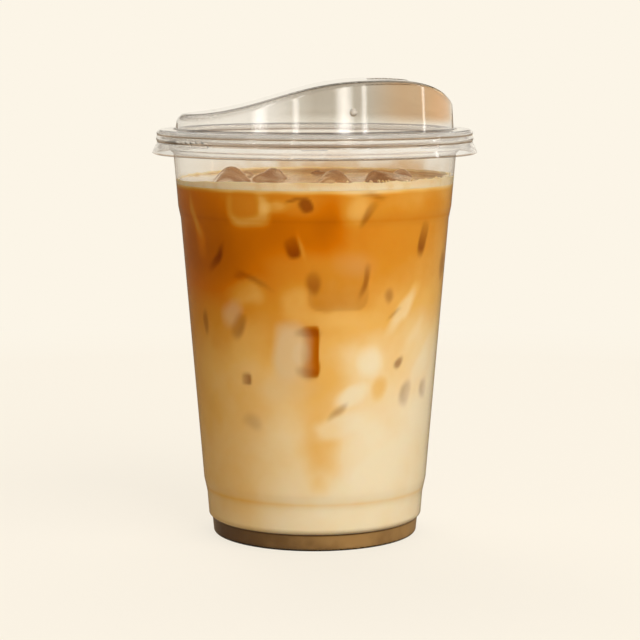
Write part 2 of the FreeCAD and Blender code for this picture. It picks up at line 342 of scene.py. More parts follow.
@dataclass(frozen=True)
class LidPlastic(ClearPlastic):
    """The lid's plastic, with painted reflections over the dome and its tip, and lines of painted shade on
    the skirt.

    The stops of its ramps are shares of the spans that they run over.
    """

    clear: Colour = (0.98, 0.98, 0.97, 1)
    pale: Colour = (0.91, 0.90, 0.89, 1)
    # Painted reflections over the dome: a darker band mid-way, then amber and peach towards the tip.
    dome_reflection: Colour = (0.71, 0.68, 0.63, 1)
    amber: Colour = (0.75, 0.62, 0.47, 1)
    tip_reflection: Colour = (0.84, 0.62, 0.39, 1)
    # Painted shade: dark lines between the ribs, and a darker one along the groove at the crest.
    line: Colour = (0.58, 0.47, 0.38, 1)
    crest_shade: Colour = (0.30, 0.29, 0.31, 1)
    # Milky shares that stand in for the white highlights on the dome's foot and the ribs: painted
    # highlight.
    foot_highlight: float = 0.94
    rib_highlight: float = 0.84
    dome_across: Span = (-50.0, 50.0)
    dome_foot: Span = (125.2, 128.5)
    skirt: Span = (117.0, 125.0)
    highlight_part: Span = (117.0, 130.0)

    def tint(self, graph: Graph, across: Socket, height: Socket) -> Feed:
        """Give the lid's colour: painted reflections over the dome and painted shade in lines down the
        skirt.

        Args:
            graph: The material's nodes.
            across: The place from left to right.
            height: The height.

        Returns:
            The colour.
        """
        # Painted reflections across the dome: darker mid-way, warm amber to peach at the drinking side.
        dome = graph.ramp(graph.share(across, *metres(self.dome_across)), (
            (0.0, self.pale), (0.36, self.pale), (0.50, self.dome_reflection), (0.66, self.dome_reflection),
            (0.76, self.amber), (0.82, self.amber), (0.88, self.tip_reflection), (1.0, self.tip_reflection),
        ))
        # Painted shade: dark lines between the ribs, darkest along the crest's groove.
        skirt = graph.ramp(graph.share(height, *metres(self.skirt)), bands(
            self.clear, (0.0, 0.0, 0.06, 0.10, self.line), (0.46, 0.49, 0.52, 0.56, self.line),
            (0.70, 0.735, 0.755, 0.79, self.line), (0.93, 0.95, 0.98, 1.0, self.crest_shade),
        ))
        return graph.blend(graph.rise(height, *metres(self.dome_foot)), skirt, dome)

    def clearness(self, graph: Graph, height: Socket) -> Feed:
        """Make the ribs' faces and the dome's foot a little milky, standing in for the white highlights
        along them: painted highlight.

        Args:
            graph: The material's nodes.
            height: The height.

        Returns:
            How clear the plastic is, from 0 to 1.
        """
        clear, foot_highlight, rib_highlight = (grey(value) for value in (1.0, self.foot_highlight, self.rib_highlight))
        # Painted highlight: milky bands on the ribs' faces and the dome's foot.
        return graph.ramp(graph.share(height, *metres(self.highlight_part)), bands(
            clear, (0.04, 0.08, 0.25, 0.285, rib_highlight), (0.33, 0.365, 0.415, 0.445, rib_highlight),
            (0.47, 0.50, 0.53, 0.56, rib_highlight), (0.56, 0.62, 0.75, 0.95, foot_highlight),
        ))


@dataclass(frozen=True)
class MarbledDrink:
    """Milk and coffee that have only half mixed, as seen through the wall."""

    name: str = "marbled_latte"
    milk: Colour = tone(249, 233, 198)
    cream: Colour = tone(246, 214, 156)
    caramel: Colour = tone(240, 186, 98)
    amber: Colour = tone(222, 148, 44)
    coffee: Colour = tone(212, 116, 3)
    deep: Colour = tone(186, 98, 2)
    shade: Colour = (0.32, 0.16, 0.13, 1)
    frost: Colour = tone(230, 202, 156)
    cloud_waves: float = 60.0
    cloudiness: float = 0.26
    softness: float = 0.1
    softness_reach: float = 2.0

    def material(self) -> bpy.types.Material:
        """Make the drink's finish from the amounts held by the mesh.

        Returns:
            Its material.
        """
        material, graph = blank_material(self.name)
        cloud = graph.maths("SUBTRACT", graph.noise(self.cloud_waves, 4), 0.5)
        cloud = graph.maths("MULTIPLY", cloud, self.cloudiness)
        body = graph.ramp(graph.maths("ADD", graph.attribute("coffee"), cloud), (
            (0.0, self.milk), (0.15, self.cream), (0.33, self.caramel), (0.55, self.amber),
            (0.78, self.coffee), (1.0, self.deep),
        ))
        frosted = graph.blend(graph.attribute("frost"), body, self.frost)
        shaded = graph.blend(graph.attribute("shade"), frosted, self.shade, "MULTIPLY")
        graph.finish(graph.shader("BsdfPrincipled", {
            "Base Color": shaded, "Roughness": 1.0, "IOR": 1.34, "Specular IOR Level": 0.0,
            "Subsurface Weight": self.softness, "Subsurface Radius": (1.0, 0.5, 0.2),
            "Subsurface Scale": self.softness_reach * MM,
        }))
        return material


@dataclass(frozen=True)
class WetSurface:
    """The drink's shiny top between the ice cubes."""

    name: str = "drink_surface"
    coffee: Colour = tone(154, 120, 86)
    cream: Colour = tone(214, 194, 164)
    streak_waves: float = 60.0
    streak_ends: Span = (0.42, 0.66)
    ripple_waves: float = 160.0
    ripple_depth: float = 0.15

    def material(self) -> bpy.types.Material:
        """Make coffee with thin streaks of cream under a wet shine.

        Returns:
            Its material.
        """
        material, graph = blank_material(self.name)
        streaks = graph.rise(graph.noise(self.streak_waves, 5), *self.streak_ends)
        graph.finish(graph.shader("BsdfPrincipled", {
            "Base Color": graph.blend(streaks, self.coffee, self.cream), "Roughness": 0.06, "IOR": 1.34,
            "Normal": graph.bump(graph.noise(self.ripple_waves, 2), self.ripple_depth),
        }))
        return material


@dataclass(frozen=True)
class MilkFoam:
    """Fine milk foam, thick and creamy at the wall, whose radius in metres comes first."""

    wall: float
    name: str = "milk_foam"
    cream: Colour = tone(236, 216, 178)
    stained: Colour = tone(230, 202, 154)
    thin: Colour = tone(186, 154, 112)
    thickening: Span = (-0.6, -0.1)
    cells: float = 1800.0
    cell_depth: float = 0.08
    stain_waves: float = 240.0
    stain_ends: Span = (0.45, 0.75)

    def material(self) -> bpy.types.Material:
        """Make the foam with pinprick bubbles.

        Returns:
            Its material.
        """
        material, graph = blank_material(self.name)
        flat = graph.add("VectorMath", {0: graph.place(), 1: (1, 1, 0)}, operation="MULTIPLY").outputs[0]
        start, full = metres(self.thickening)
        thick = graph.rise(graph.length(flat), self.wall + start, self.wall + full)
        stain = graph.rise(graph.noise(self.stain_waves, 4), *self.stain_ends)
        creamy = graph.blend(stain, self.cream, self.stained)
        cells = graph.add("TexVoronoi", {"Vector": graph.place(), "Scale": self.cells}).outputs[0]
        graph.finish(graph.shader("BsdfPrincipled", {
            "Base Color": graph.blend(thick, self.thin, creamy), "Roughness": 0.45, "IOR": 1.34,
            "Subsurface Weight": 0.3, "Subsurface Radius": (1.0, 0.6, 0.3), "Subsurface Scale": 1.0 * MM,
            "Normal": graph.bump(cells, self.cell_depth, 0.6),
        }))
        return material


@dataclass(frozen=True)
class DarkSyrup:
    """The dark layer that has sunk to the foot, up to its top in metres."""

    top: float
    name: str = "dark_layer"
    dark: Colour = tone(88, 58, 26)
    light: Colour = tone(168, 130, 78)
    line: Colour = tone(74, 48, 20)
    lit_side: Span = (-36.0, 12.0)
    cloud_waves: float = 90.0
    cloud_ends: Span = (0.35, 0.65)
    line_part: Span = (-1.0, -0.4)

    def material(self) -> bpy.types.Material:
        """Make the dark layer, cloudy, lighter towards the drinking side as painted light falling from
        there, and darkest along its top.

        Returns:
            Its material.
        """
        material, graph = blank_material(self.name)
        across, _, height = graph.axes(graph.place())
        cloud = graph.rise(graph.noise(self.cloud_waves), *self.cloud_ends)
        cloud = graph.maths("ADD", graph.maths("MULTIPLY", cloud, 0.5), 0.5)
        # Painted light: the layer grows lighter towards the drinking side, where the light falls.
        thin = graph.maths("MULTIPLY", graph.rise(across, *metres(self.lit_side)), cloud)
        brown = graph.blend(thin, self.dark, self.light)
        start, full = metres(self.line_part)
        along_top = graph.rise(height, self.top + start, self.top + full)
        graph.finish(graph.shader("BsdfPrincipled", {
            "Base Color": graph.blend(along_top, brown, self.line), "Roughness": 0.2, "IOR": 1.36,
            "Specular IOR Level": 0.3,
        }))
        return material


@dataclass(frozen=True)
class WetIce:
    """Melting ice, clear but for a faint coffee tint and a brown arc inside its pale outline.

    The arc's spans run from 0, square-on, to 1, edge-on.
    """

    name: str = "wet_ice"
    tint: Colour = (0.97, 0.88, 0.76, 1)
    arc: Colour = (0.58, 0.38, 0.25, 1)
    passing: Colour = (0.93, 0.88, 0.8, 1)
    clearness: float = 0.8
    arc_starts: Span = (0.30, 0.55)
    arc_ends: Span = (0.72, 0.88)
    ripple_waves: float = 220.0
    ripple_depth: float = 0.2

    def material(self) -> bpy.types.Material:
        """Make the ice.

        Returns:
            Its material.
        """
        material, graph = blank_material(self.name)
        inner = graph.hump(graph.edge_on(), self.arc_starts, self.arc_ends)
        ice = graph.shader("BsdfPrincipled", {
            "Base Color": graph.blend(inner, self.tint, self.arc), "Roughness": 0.06, "IOR": 1.31,
            "Transmission Weight": self.clearness,
            "Normal": graph.bump(graph.noise(self.ripple_waves, 2), self.ripple_depth),
        })
        graph.finish(lets_light_in(graph, ice, self.passing))
        return material


def as_object(name: str, shape: bmesh.types.BMesh) -> bpy.types.Object:
    """Turn a finished shape into a smooth object at the origin.

    Args:
        name: The object's name.
        shape: The shape, which is freed.

    Returns:
        The object, in the scene.
    """
    mesh = bpy.data.meshes.new(name)
    shape.to_mesh(mesh)
    shape.free()
    mesh.shade_smooth()
    piece = bpy.data.objects.new(name, mesh)
    bpy.context.scene.collection.objects.link(piece)
    return piece


def spun(name: str, outline: list[tuple[float, float]], steps: int) -> bpy.types.Object:
    """Spin an outline round the cup's axis into a closed piece.

    Args:
        name: The piece's name.
        outline: Points of radius and height in metres, from the axis and back to it, or a loop.
        steps: How many steps make the full turn.

    Returns:
        The piece.
    """
    shape = bmesh.new()
    points = [shape.verts.new((radius, 0.0, height)) for radius, height in outline]
    lines = [shape.edges.new(pair) for pair in zip(points, points[1:])]
    if outline[0][0] > MM:
        lines.append(shape.edges.new((points[-1], points[0])))
    bmesh.ops.spin(
        shape, geom=points + lines, cent=(0, 0, 0), axis=(0, 0, 1), dvec=(0, 0, 0),
        angle=FULL_TURN, steps=steps, use_merge=True,
    )
    bmesh.ops.remove_doubles(shape, verts=shape.verts, dist=0.001 * MM)
    bmesh.ops.recalc_face_normals(shape, faces=shape.faces)
    piece = as_object(name, shape)
    piece.data.set_sharp_from_angle(angle=SHARP_TURN)
    return piece


def place_piece(piece: bpy.types.Object, material: bpy.types.Material, slot: str, *nodes: str) -> None:
    """Dress a new piece, hang it on the root body and hide the CAD nodes that it stands for.

    Args:
        piece: The new piece.
        material: Its finish.
        slot: A material slot's name; not used.
        nodes: The CAD nodes that it stands for.
    """
    piece.data.materials.clear()
    piece.data.materials.append(material)
    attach(piece, "root")
    if nodes:
        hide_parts(*nodes)
    LOG.info("%s: %d faces", piece.name, len(piece.data.polygons))


def set_amount(mesh: bpy.types.Mesh, name: str, values: np.ndarray) -> None:
    """Store a number at each vertex of a mesh, for its material to read."""
    mesh.attributes.new(name, "FLOAT", "POINT").data.foreach_set("value", values.astype(np.float32))


def vertex_places(mesh: bpy.types.Mesh) -> np.ndarray:
    """Read where a mesh's vertices are.

    Args:
        mesh: The mesh.

    Returns:
        Rows of x, y and z in metres.
    """
    flat = np.empty(3 * len(mesh.vertices), np.float32)
    mesh.vertices.foreach_get("co", flat)
    return flat.reshape(-1, 3).astype(float)


class CupInside:
    """The inside of the cup's wall, read from the layers that fill it."""

    def __init__(self, *layers: str) -> None:
        """Collect the widest radius at each height of the layers.

        Args:
            layers: The CAD nodes that touch the wall.
        """
        places = np.vstack([vertex_places(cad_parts[name].data) for name in layers])
        radii = np.hypot(places[:, 0], places[:, 1])
        order = np.argsort(places[:, 2])
        heights, radii = places[order, 2], radii[order]
        widest = radii >= np.maximum.accumulate(radii)
        self.heights, self.radii = heights[widest], radii[widest]

    def radius(self, height: float) -> float:
        """Give the inner radius at a height, both in metres."""
        return float(np.interp(height, self.heights, self.radii))


class Mark(Enum):
    """What a soft mark on the drink shows."""

    COFFEE = "coffee"
    MILK = "milk"
    SHADE = "shade"
    FROST = "frost"


@dataclass(frozen=True)
class Blot:
    """A soft mark on the drink, where coffee, milk or a face of sunk ice meets the wall.

    The turn is in degrees, sizes are half sizes in mm, and tilt leans the top to the right.
    Fade gives how far the mark dies away to the right (above 0) or left, and lift upwards or down.
    """

    kind: Mark
    turn: float
    height: float
    width: float
    tall: float
    strength: float
    tilt: float = 0.0
    edge: float = 0.5
    square: float = 2.0
    fade: float = 0.0
    lift: float = 0.0

    def amount(self, turn: np.ndarray, height: np.ndarray, radius: np.ndarray) -> np.ndarray:
        """Work out how strongly the mark shows at each place.

        Args:
            turn: Degrees round the cup.
            height: Heights in mm.
            radius: Radii in mm.

        Returns:
            Shares from 0 to the mark's strength.
        """
        away = (turn - self.turn + 180) % 360 - 180
        across = np.radians(away) * radius
        up = height - self.height
        lean = math.radians(self.tilt)
        along = (across * math.cos(lean) - up * math.sin(lean)) / self.width
        rise = (across * math.sin(lean) + up * math.cos(lean)) / self.tall
        reach = (np.abs(along) ** self.square + np.abs(rise) ** self.square) ** (1 / self.square)
        inside = 1 - smooth(1 - self.edge, 1 + self.edge, reach)
        side = np.clip(0.5 - 0.5 * along * np.sign(self.fade), 0, 1) ** abs(self.fade)
        level = np.clip(0.5 - 0.5 * rise * np.sign(self.lift), 0, 1) ** abs(self.lift)
        return self.strength * inside * side * level


FRONT_BLOTS = (
    # Coffee that hangs down in tongues, and milk that has risen between them.
    Blot(Mark.COFFEE, -52, 87, 15, 9, 0.20, edge=0.9),
    Blot(Mark.COFFEE, -14, 95, 11, 5, 0.14, edge=0.9),
    Blot(Mark.COFFEE, 6, 99, 5, 8, 0.20, edge=0.8),
    Blot(Mark.COFFEE, 4, 46, 8, 13, 0.13, edge=0.8),
    Blot(Mark.COFFEE, 5, 31.5, 5.8, 9, 0.14, edge=0.6, square=2.6, fade=0.3),
    Blot(Mark.COFFEE, 2, 20.5, 2.4, 2.5, 0.08, edge=0.8),
    Blot(Mark.COFFEE, 30.5, 48.8, 2.0, 3.0, 0.14, edge=0.6),
    Blot(Mark.MILK, -28, 102.4, 6.8, 5, 0.40, edge=0.22, square=4),
    Blot(Mark.COFFEE, -29.5, 104, 4.6, 3.6, 0.26, edge=0.25, square=4),
    Blot(Mark.MILK, -17, 103.4, 5.5, 1.9, 0.36, tilt=-6, edge=0.5, fade=-0.3),
    Blot(Mark.MILK, 16.5, 103.0, 3.8, 4.2, 0.34, edge=0.7),
    Blot(Mark.MILK, 44, 104, 6, 3, 0.12, edge=0.8),
    Blot(Mark.MILK, -60, 100, 1.6, 5, 0.30, tilt=-20, edge=0.6),
    Blot(Mark.MILK, -57, 93, 2.0, 5, 0.22, tilt=-12, edge=0.7),
    Blot(Mark.MILK, -31, 78.0, 6.0, 3.6, 0.30, tilt=-10, edge=0.5),
    Blot(Mark.MILK, -8, 76.0, 4.2, 4.6, 0.30, tilt=-25, edge=0.7),
    Blot(Mark.MILK, 9, 71.0, 11, 2.6, 0.26, edge=0.7),
    Blot(Mark.FROST, 18, 86.5, 5, 3.2, 0.14, edge=0.8),
    Blot(Mark.MILK, -34, 60, 5, 8, 0.24, tilt=14, edge=0.8),
    Blot(Mark.FROST, -11, 60.5, 5.2, 8.4, 0.75, edge=0.35, square=3.2),
    Blot(Mark.FROST, -12, 50, 6.5, 3.4, 0.35, edge=0.8),
    Blot(Mark.MILK, 26, 57.5, 3.6, 4.2, 0.72, edge=0.5),
    Blot(Mark.MILK, 17, 61.5, 3.0, 2.4, 0.14, edge=0.8),
    Blot(Mark.MILK, 17.5, 47.8, 5.0, 2.8, 0.80, tilt=-30, edge=0.4),
    Blot(Mark.MILK, 12.5, 38.6, 7.4, 3.4, 0.58, tilt=-14, edge=0.45, square=2.6),
    Blot(Mark.MILK, 22, 38, 5, 6, 0.45, edge=0.9),
    Blot(Mark.MILK, 43, 72.5, 2.2, 7.5, 0.56, tilt=38, edge=0.5),
    Blot(Mark.MILK, 50, 64, 1.6, 6, 0.22, tilt=42, edge=0.8),
    Blot(Mark.MILK, 58, 54.5, 2.8, 8.5, 0.62, tilt=40, edge=0.5),
    # Faces of ice cubes, dim or pale.
    Blot(Mark.SHADE, 10.5, 80.5, 8.9, 7.6, 0.26, edge=0.05, square=4.5, lift=0.9),
    Blot(Mark.SHADE, -0.6, 81.6, 2.1, 3.3, 0.66, tilt=-12, edge=0.5, lift=0.4),
    Blot(Mark.SHADE, 22.2, 82.8, 1.0, 5.2, 0.72, tilt=20, edge=0.6, lift=0.4),
    Blot(Mark.SHADE, -3.8, 103.6, 1.6, 1.8, 0.80, tilt=-25, edge=0.3, square=3),
    Blot(Mark.SHADE, -6.8, 105.4, 2.6, 0.5, 0.60, tilt=-8, edge=0.6),
    Blot(Mark.SHADE, 22.6, 102.0, 1.3, 4.0, 0.66, tilt=30, edge=0.5, lift=0.6),
    Blot(Mark.SHADE, 23.5, 106.6, 3.6, 0.8, 0.42, tilt=8, edge=0.7),
    Blot(Mark.SHADE, -9.4, 91.8, 2.2, 3.4, 0.95, tilt=-16, edge=0.28, square=2.6, lift=0.5),
    Blot(Mark.MILK, -5.6, 92.2, 0.6, 3.4, 0.25, tilt=-16, edge=0.8),
    Blot(Mark.SHADE, -47.5, 86.8, 1.3, 5.2, 0.88, tilt=42, edge=0.6, lift=-0.5),
    Blot(Mark.SHADE, 52.3, 93.6, 1.9, 5.0, 0.95, tilt=16, edge=0.35, square=2.6, lift=0.7),
    Blot(Mark.SHADE, 74.6, 84, 2.6, 4, 0.50),
    Blot(Mark.SHADE, 34.3, 77.1, 1.3, 1.8, 0.50, edge=0.7),
    Blot(Mark.SHADE, 38.0, 71.6, 2.2, 0.6, 0.36, tilt=-30, edge=0.7),
    Blot(Mark.SHADE, -57.7, 68.2, 1.6, 3.4, 0.50),
    Blot(Mark.FROST, -39.6, 71.6, 2.6, 4.0, 0.40, tilt=25, edge=0.6),
    Blot(Mark.SHADE, -36.8, 68.2, 2.6, 4.2, 0.74, tilt=24, edge=0.4, fade=-0.6, lift=0.3),
    Blot(Mark.COFFEE, -1.9, 61.0, 2.4, 7.4, 0.50, edge=0.10, square=7, fade=-0.7),
    Blot(Mark.SHADE, -2.2, 61.0, 2.6, 7.6, 0.46, edge=0.08, square=7, fade=-0.7),
    Blot(Mark.SHADE, -3.6, 66.6, 3.2, 1.5, 0.40, tilt=-8, edge=0.5),
    Blot(Mark.SHADE, -3.4, 54.8, 2.4, 1.8, 0.34, tilt=30, edge=0.6),
    Blot(Mark.FROST, -5.4, 60.4, 2.4, 2.8, 0.60, edge=0.4),
    Blot(Mark.SHADE, -33.2, 52, 1.8, 1.7, 0.86, edge=0.3, square=4, fade=-0.5),
    Blot(Mark.SHADE, 41.1, 56.4, 2.0, 1.2, 0.70, tilt=-45),
    Blot(Mark.SHADE, 11, 43.3, 2.6, 1.0, 0.42, tilt=-45, edge=0.7),
    Blot(Mark.SHADE, 47.5, 46.6, 2.6, 3.6, 0.52, tilt=16, edge=0.5, fade=0.5),
    Blot(Mark.SHADE, 63, 47, 2.4, 3.0, 0.50, edge=0.5, fade=0.8),
    Blot(Mark.SHADE, -30.8, 39, 2.4, 2.0, 0.28, edge=0.8),
    Blot(Mark.SHADE, -27, 81.8, 5.0, 0.7, 0.46, tilt=26, edge=0.8),
    Blot(Mark.SHADE, -34, 82.6, 2.0, 1.0, 0.34, edge=0.8),
)


@dataclass
class MarbledLatte:
    """The marbled body of the drink, a skin that reaches just into the cup's wall.

    Settled holds heights with their share of coffee; the thin lines of painted shade where the wall steps
    in are held by their height, their width and their strength.
    """

    inside: CupInside
    steps: int = 480
    ring_gap: float = 0.75
    into_wall: float = 0.12
    settled: tuple[tuple[float, float], ...] = (
        (8, 0.04), (15, 0.06), (24, 0.09), (36, 0.13), (48, 0.19), (54, 0.24), (60, 0.31), (66, 0.38),
        (75, 0.50), (81, 0.58), (88, 0.64), (95, 0.69), (102, 0.70), (106, 0.62),
    )
    settled_sway: float = 6.0
    # More coffee at the left: partly the drink's own colour, partly painted shade.
    left_coffee_and_shade: float = 0.18
    step_shades: tuple[tuple[float, float, float], ...] = ((14.4, 0.7, 0.10), (99.4, 0.45, 0.07))
    creamy_top: Span = (106.8, 108.3)
    creamy_share: float = 0.8
    creamy_sway: float = 0.8
    flatness: float = 0.8
    slow_wave: float = 26.0
    turn_wave: float = 9.0
    turn_sway: float = 2.2
    height_wave: float = 8.0
    height_sway: float = 1.1
    square_from: float = 3.5
    square_sway: float = 0.3
    seed: int = 11
    hidden_blots: int = 34
    hidden_turns: Span = (92.0, 268.0)
    hidden_heights: Span = (24.0, 104.0)
    hidden_shift: float = 6.0

    def build(self) -> None:
        """Make the drink, marble it and dress it."""
        low, high = (corner.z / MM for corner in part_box("latte"))
        levels = [float(level) * MM for level in np.linspace(low, high, int((high - low) / self.ring_gap))]
        rim = [(self.inside.radius(level) + self.into_wall * MM, level) for level in levels]
        outline = [(0.0, levels[0]), *rim, (0.0, levels[-1])]
        piece = spun("marbled_latte", outline, self.steps)
        self.marble(piece.data)
        place_piece(piece, MarbledDrink().material(), "milk_coffee", "latte")

    def marble(self, mesh: bpy.types.Mesh) -> None:
        """Work out coffee, shade and frost at each vertex of the skin.

        Args:
            mesh: The skin.
        """
        places = vertex_places(mesh)
        turn = np.degrees(np.arctan2(places[:, 0], -places[:, 1]))
        height = places[:, 2] / MM
        radius = np.hypot(places[:, 0], places[:, 1]) / MM
        drift = self.drift(places, self.slow_wave, 3)
        turned = self.turn_sway * self.drift(places + 1.0, self.turn_wave, 2)
        lifted = self.height_sway * self.drift(places + 2.0, self.height_wave, 2)
        levels = {"coffee": self.settle(turn, height, drift), "shade": 0 * turn, "frost": 0 * turn}
        for blot in (*FRONT_BLOTS, *self.hidden()):
            sway = self.square_sway if blot.square > self.square_from else 1.0
            share = blot.amount(turn + sway * turned, height + sway * lifted, radius)
            if blot.kind is Mark.COFFEE:
                levels["coffee"] += share
            elif blot.kind is Mark.MILK:
                levels["coffee"] *= 1 - share
            else:
                level = levels[blot.kind.value]
                level += share * (1 - level)
        for name, values in levels.items():
            set_amount(mesh, name, np.clip(values, 0, 1))

    def settle(self, turn: np.ndarray, height: np.ndarray, drift: np.ndarray) -> np.ndarray:
        """Give how much coffee has stayed at each height, with slow wandering, and more at the left, which
        is partly painted shade.

        Args:
            turn: Degrees round the cup.
            height: Heights in mm.
            drift: Slow noise from -1 to 1.

        Returns:
            Shares of coffee from 0 to 1.
        """
        # More coffee towards the left darkens that side: partly the drink's own colour, partly painted
        # shade.
        leftward = -np.sin(np.radians(turn))
        heights, shares = zip(*self.settled)
        amount = np.interp(height + self.settled_sway * drift, heights, shares) + self.left_coffee_and_shade * leftward
        # Painted shade: thin darker lines where the wall steps in.
        step_shade = sum(deep * np.exp(-(((height - low) / wide) ** 2)) for low, wide, deep in self.step_shades)
        creamy = smooth(*self.creamy_top, height + self.creamy_sway * drift)
        return (np.maximum(amount, 0) + step_shade) * (1 - self.creamy_share * creamy)

    def drift(self, places: np.ndarray, size: float, layers: int) -> np.ndarray:
        """Make smooth noise over the places.

        Args:
            places: Rows of x, y, z in metres.
            size: The size of its waves in mm.
            layers: How many layers of noise are added up.

        Returns:
            Values round 0, mostly from -1 to 1.
        """
        scaled = places / (size * MM)
        scaled[:, 2] *= self.flatness
        return np.array([noise.fractal(Vector(place), 1.0, 2.0, layers) for place in scaled])

    def hidden(self) -> list[Blot]:
        """Scatter the same kinds of marks over the sides that the front doesn't show.

        Returns:
            The marks.
        """
        rng = np.random.default_rng(self.seed)
        blots = []
        for _ in range(self.hidden_blots):
            model = FRONT_BLOTS[rng.integers(len(FRONT_BLOTS))]
            turn = float(rng.uniform(*self.hidden_turns))
            height = float(np.clip(model.height + rng.normal(0, self.hidden_shift), *self.hidden_heights))
            blots.append(replace(model, turn=turn, height=height, tilt=-model.tilt))
        return blots


@dataclass
class DrinkTop:
    """The shiny surface of the drink and the ring of foam that clings to the wall."""

    inside: CupInside
    steps: int = 360
    sink: float = 0.25
    surface_gap: float = 1.0
    into_wall: float = 0.12
    ring_width: float = 1.7
    ring_rise: float = 1.0
    ring_drop: float = 0.5
    ring_foot: float = 0.3
    ring_bends: int = 10
    swell_depth: float = 0.3
    swell: float = 0.35
    swell_wave: float = 5.0
    left_dip: float = 0.9
    seed: int = 5
    bubbles: int = 90
    bubble_sizes: Span = (0.22, 0.5)
    bubble_turn: float = 52.0
    bubble_spread: float = 24.0
    bubble_heights: Span = (0.2, 1.3)
    bubble_gap: float = 0.15

    def build(self) -> None:
        """Make the surface, the foam ring and its bubbles."""
        low, high = (corner.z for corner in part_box("foam"))
        level = high - self.sink * MM
        wall = self.inside.radius(high) + self.into_wall * MM
        edge = wall - self.surface_gap * MM
        surface = spun("drink_surface", [(0, low), (edge, low), (edge, level), (0, level)], self.steps)
        place_piece(surface, WetSurface().material(), "milk_coffee")
        self.make_ring(low, high, wall)
        self.make_bubbles(high, wall)

    def make_ring(self, low: float, high: float, wall: float) -> None:
        """Make the foam ring, which climbs the wall, swells here and there and sinks at the left.

        Args:
            low: The height of the foam's underside.
            high: The height of its top.
            wall: The radius that it reaches.
        """
        profile = [(wall, low)]
        for step in range(self.ring_bends + 1):
            share = step / self.ring_bends
            height = high + (self.ring_rise * (1 - share) ** 3 - self.ring_drop * share) * MM
            profile.append((wall - self.ring_width * share * MM, height))
        profile.append((wall - self.ring_width * MM, low - self.ring_foot * MM))
        ring = spun("foam_ring", profile, self.steps)
        for vert in ring.data.vertices:
            if vert.co.z > high - self.swell_depth * MM:
                swell = noise.fractal(vert.co / (self.swell_wave * MM), 1.0, 2.0, 3)
                leftward = float(smooth(0.5, 1.0, -vert.co.x / wall))
                vert.co.z += (self.swell * swell - self.left_dip * leftward) * MM
        place_piece(ring, MilkFoam(wall).material(), "foam", "foam")

    def make_bubbles(self, high: float, wall: float) -> None:
        """Press small bubbles into the foam where it has climbed the wall.

        Args:
            high: The height of the foam's top.
            wall: The radius that the foam reaches.
        """
        rng = np.random.default_rng(self.seed)
        shape = bmesh.new()
        for _ in range(self.bubbles):
            radius = float(rng.uniform(*self.bubble_sizes)) * MM
            turn = math.radians(float(rng.normal(self.bubble_turn, self.bubble_spread)))
            out = wall - self.bubble_gap * MM - radius
            height = high + float(rng.uniform(*self.bubble_heights)) * MM
            place = Matrix.Translation((out * math.sin(turn), -out * math.cos(turn), height))
            bmesh.ops.create_icosphere(shape, subdivisions=2, radius=radius, matrix=place)
        foam = MilkFoam(wall - self.ring_width * MM, "bubble_foam")
        place_piece(as_object("foam_bubbles", shape), foam.material(), "foam")


@dataclass
class FloatingIce:
    """The ice cubes that float at the top, rounded and pitted by melting."""

    voxel: float = 0.5
    rounding: int = 3
    pit: float = 0.35
    pit_wave: float = 6.0
    pit_level: float = 0.4

    def build(self) -> None:
        """Make a melted copy of each CAD cube."""
        material = WetIce().material()
        for name in sorted(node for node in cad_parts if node.startswith("ice_")):
            piece = self.melted(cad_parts[name], "melting_" + name)
            place_piece(piece, material, "ice", name)

    def melted(self, node: bpy.types.Object, name: str) -> bpy.types.Object:
        """Remesh a cube evenly, round it and pit its faces.

        Args:
            node: The CAD cube.
            name: The new piece's name.

        Returns:
            The melted cube.
        """
        shape = bmesh.new()
        shape.from_mesh(node.data)
        bmesh.ops.remove_doubles(shape, verts=shape.verts, dist=0.01 * MM)
        cube = as_object(name, shape)
        remesh = cube.modifiers.new("even", "REMESH")
        remesh.mode = "VOXEL"
        remesh.voxel_size = self.voxel * MM
        evaluated = cube.evaluated_get(bpy.context.evaluated_depsgraph_get())
        even = bpy.data.meshes.new_from_object(evaluated)
        cube.modifiers.clear()
        cube.data = even
        even.shade_smooth()
        shape = bmesh.new()
        shape.from_mesh(even)
        for _ in range(self.rounding):
            bmesh.ops.smooth_vert(
                shape, verts=shape.verts, factor=0.5, use_axis_x=True, use_axis_y=True, use_axis_z=True,
            )
        shape.normal_update()
        for vert in shape.verts:
            dip = noise.fractal(vert.co / (self.pit_wave * MM), 1.0, 2.0, 2) - self.pit_level
            vert.co += vert.normal * (self.pit * MM * min(dip, 0.0))
        shape.to_mesh(even)
        shape.free()
        return cube


@dataclass
class DarkLayer:
    """The dark layer at the foot."""

    inside: CupInside
    steps: int = 240
    rings: int = 12
    into_wall: float = 0.12
    valley_width: float = 1.0

    def build(self) -> None:
        """Make the layer so that it reaches just into the wall and the floor of the cup."""
        low, high = (corner.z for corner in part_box("syrup"))
        places = vertex_places(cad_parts["syrup"].data)
        radii = np.hypot(places[:, 0], places[:, 1])
        dome_edge = float(radii.min())
        floor = float(places[radii.argmin(), 2]) - self.into_wall * MM
        levels = [float(level) for level in np.linspace(low, high, self.rings)]
        rim = [(self.inside.radius(level) + self.into_wall * MM, level) for level in levels]
        valley = (rim[0][0] - self.valley_width * MM, rim[0][1])
        outline = [(0.0, floor), (dome_edge, floor), valley, *rim, (0.0, high)]
        piece = spun("dark_layer", outline, self.steps)
        place_piece(piece, DarkSyrup(high).material(), "syrup", "syrup")


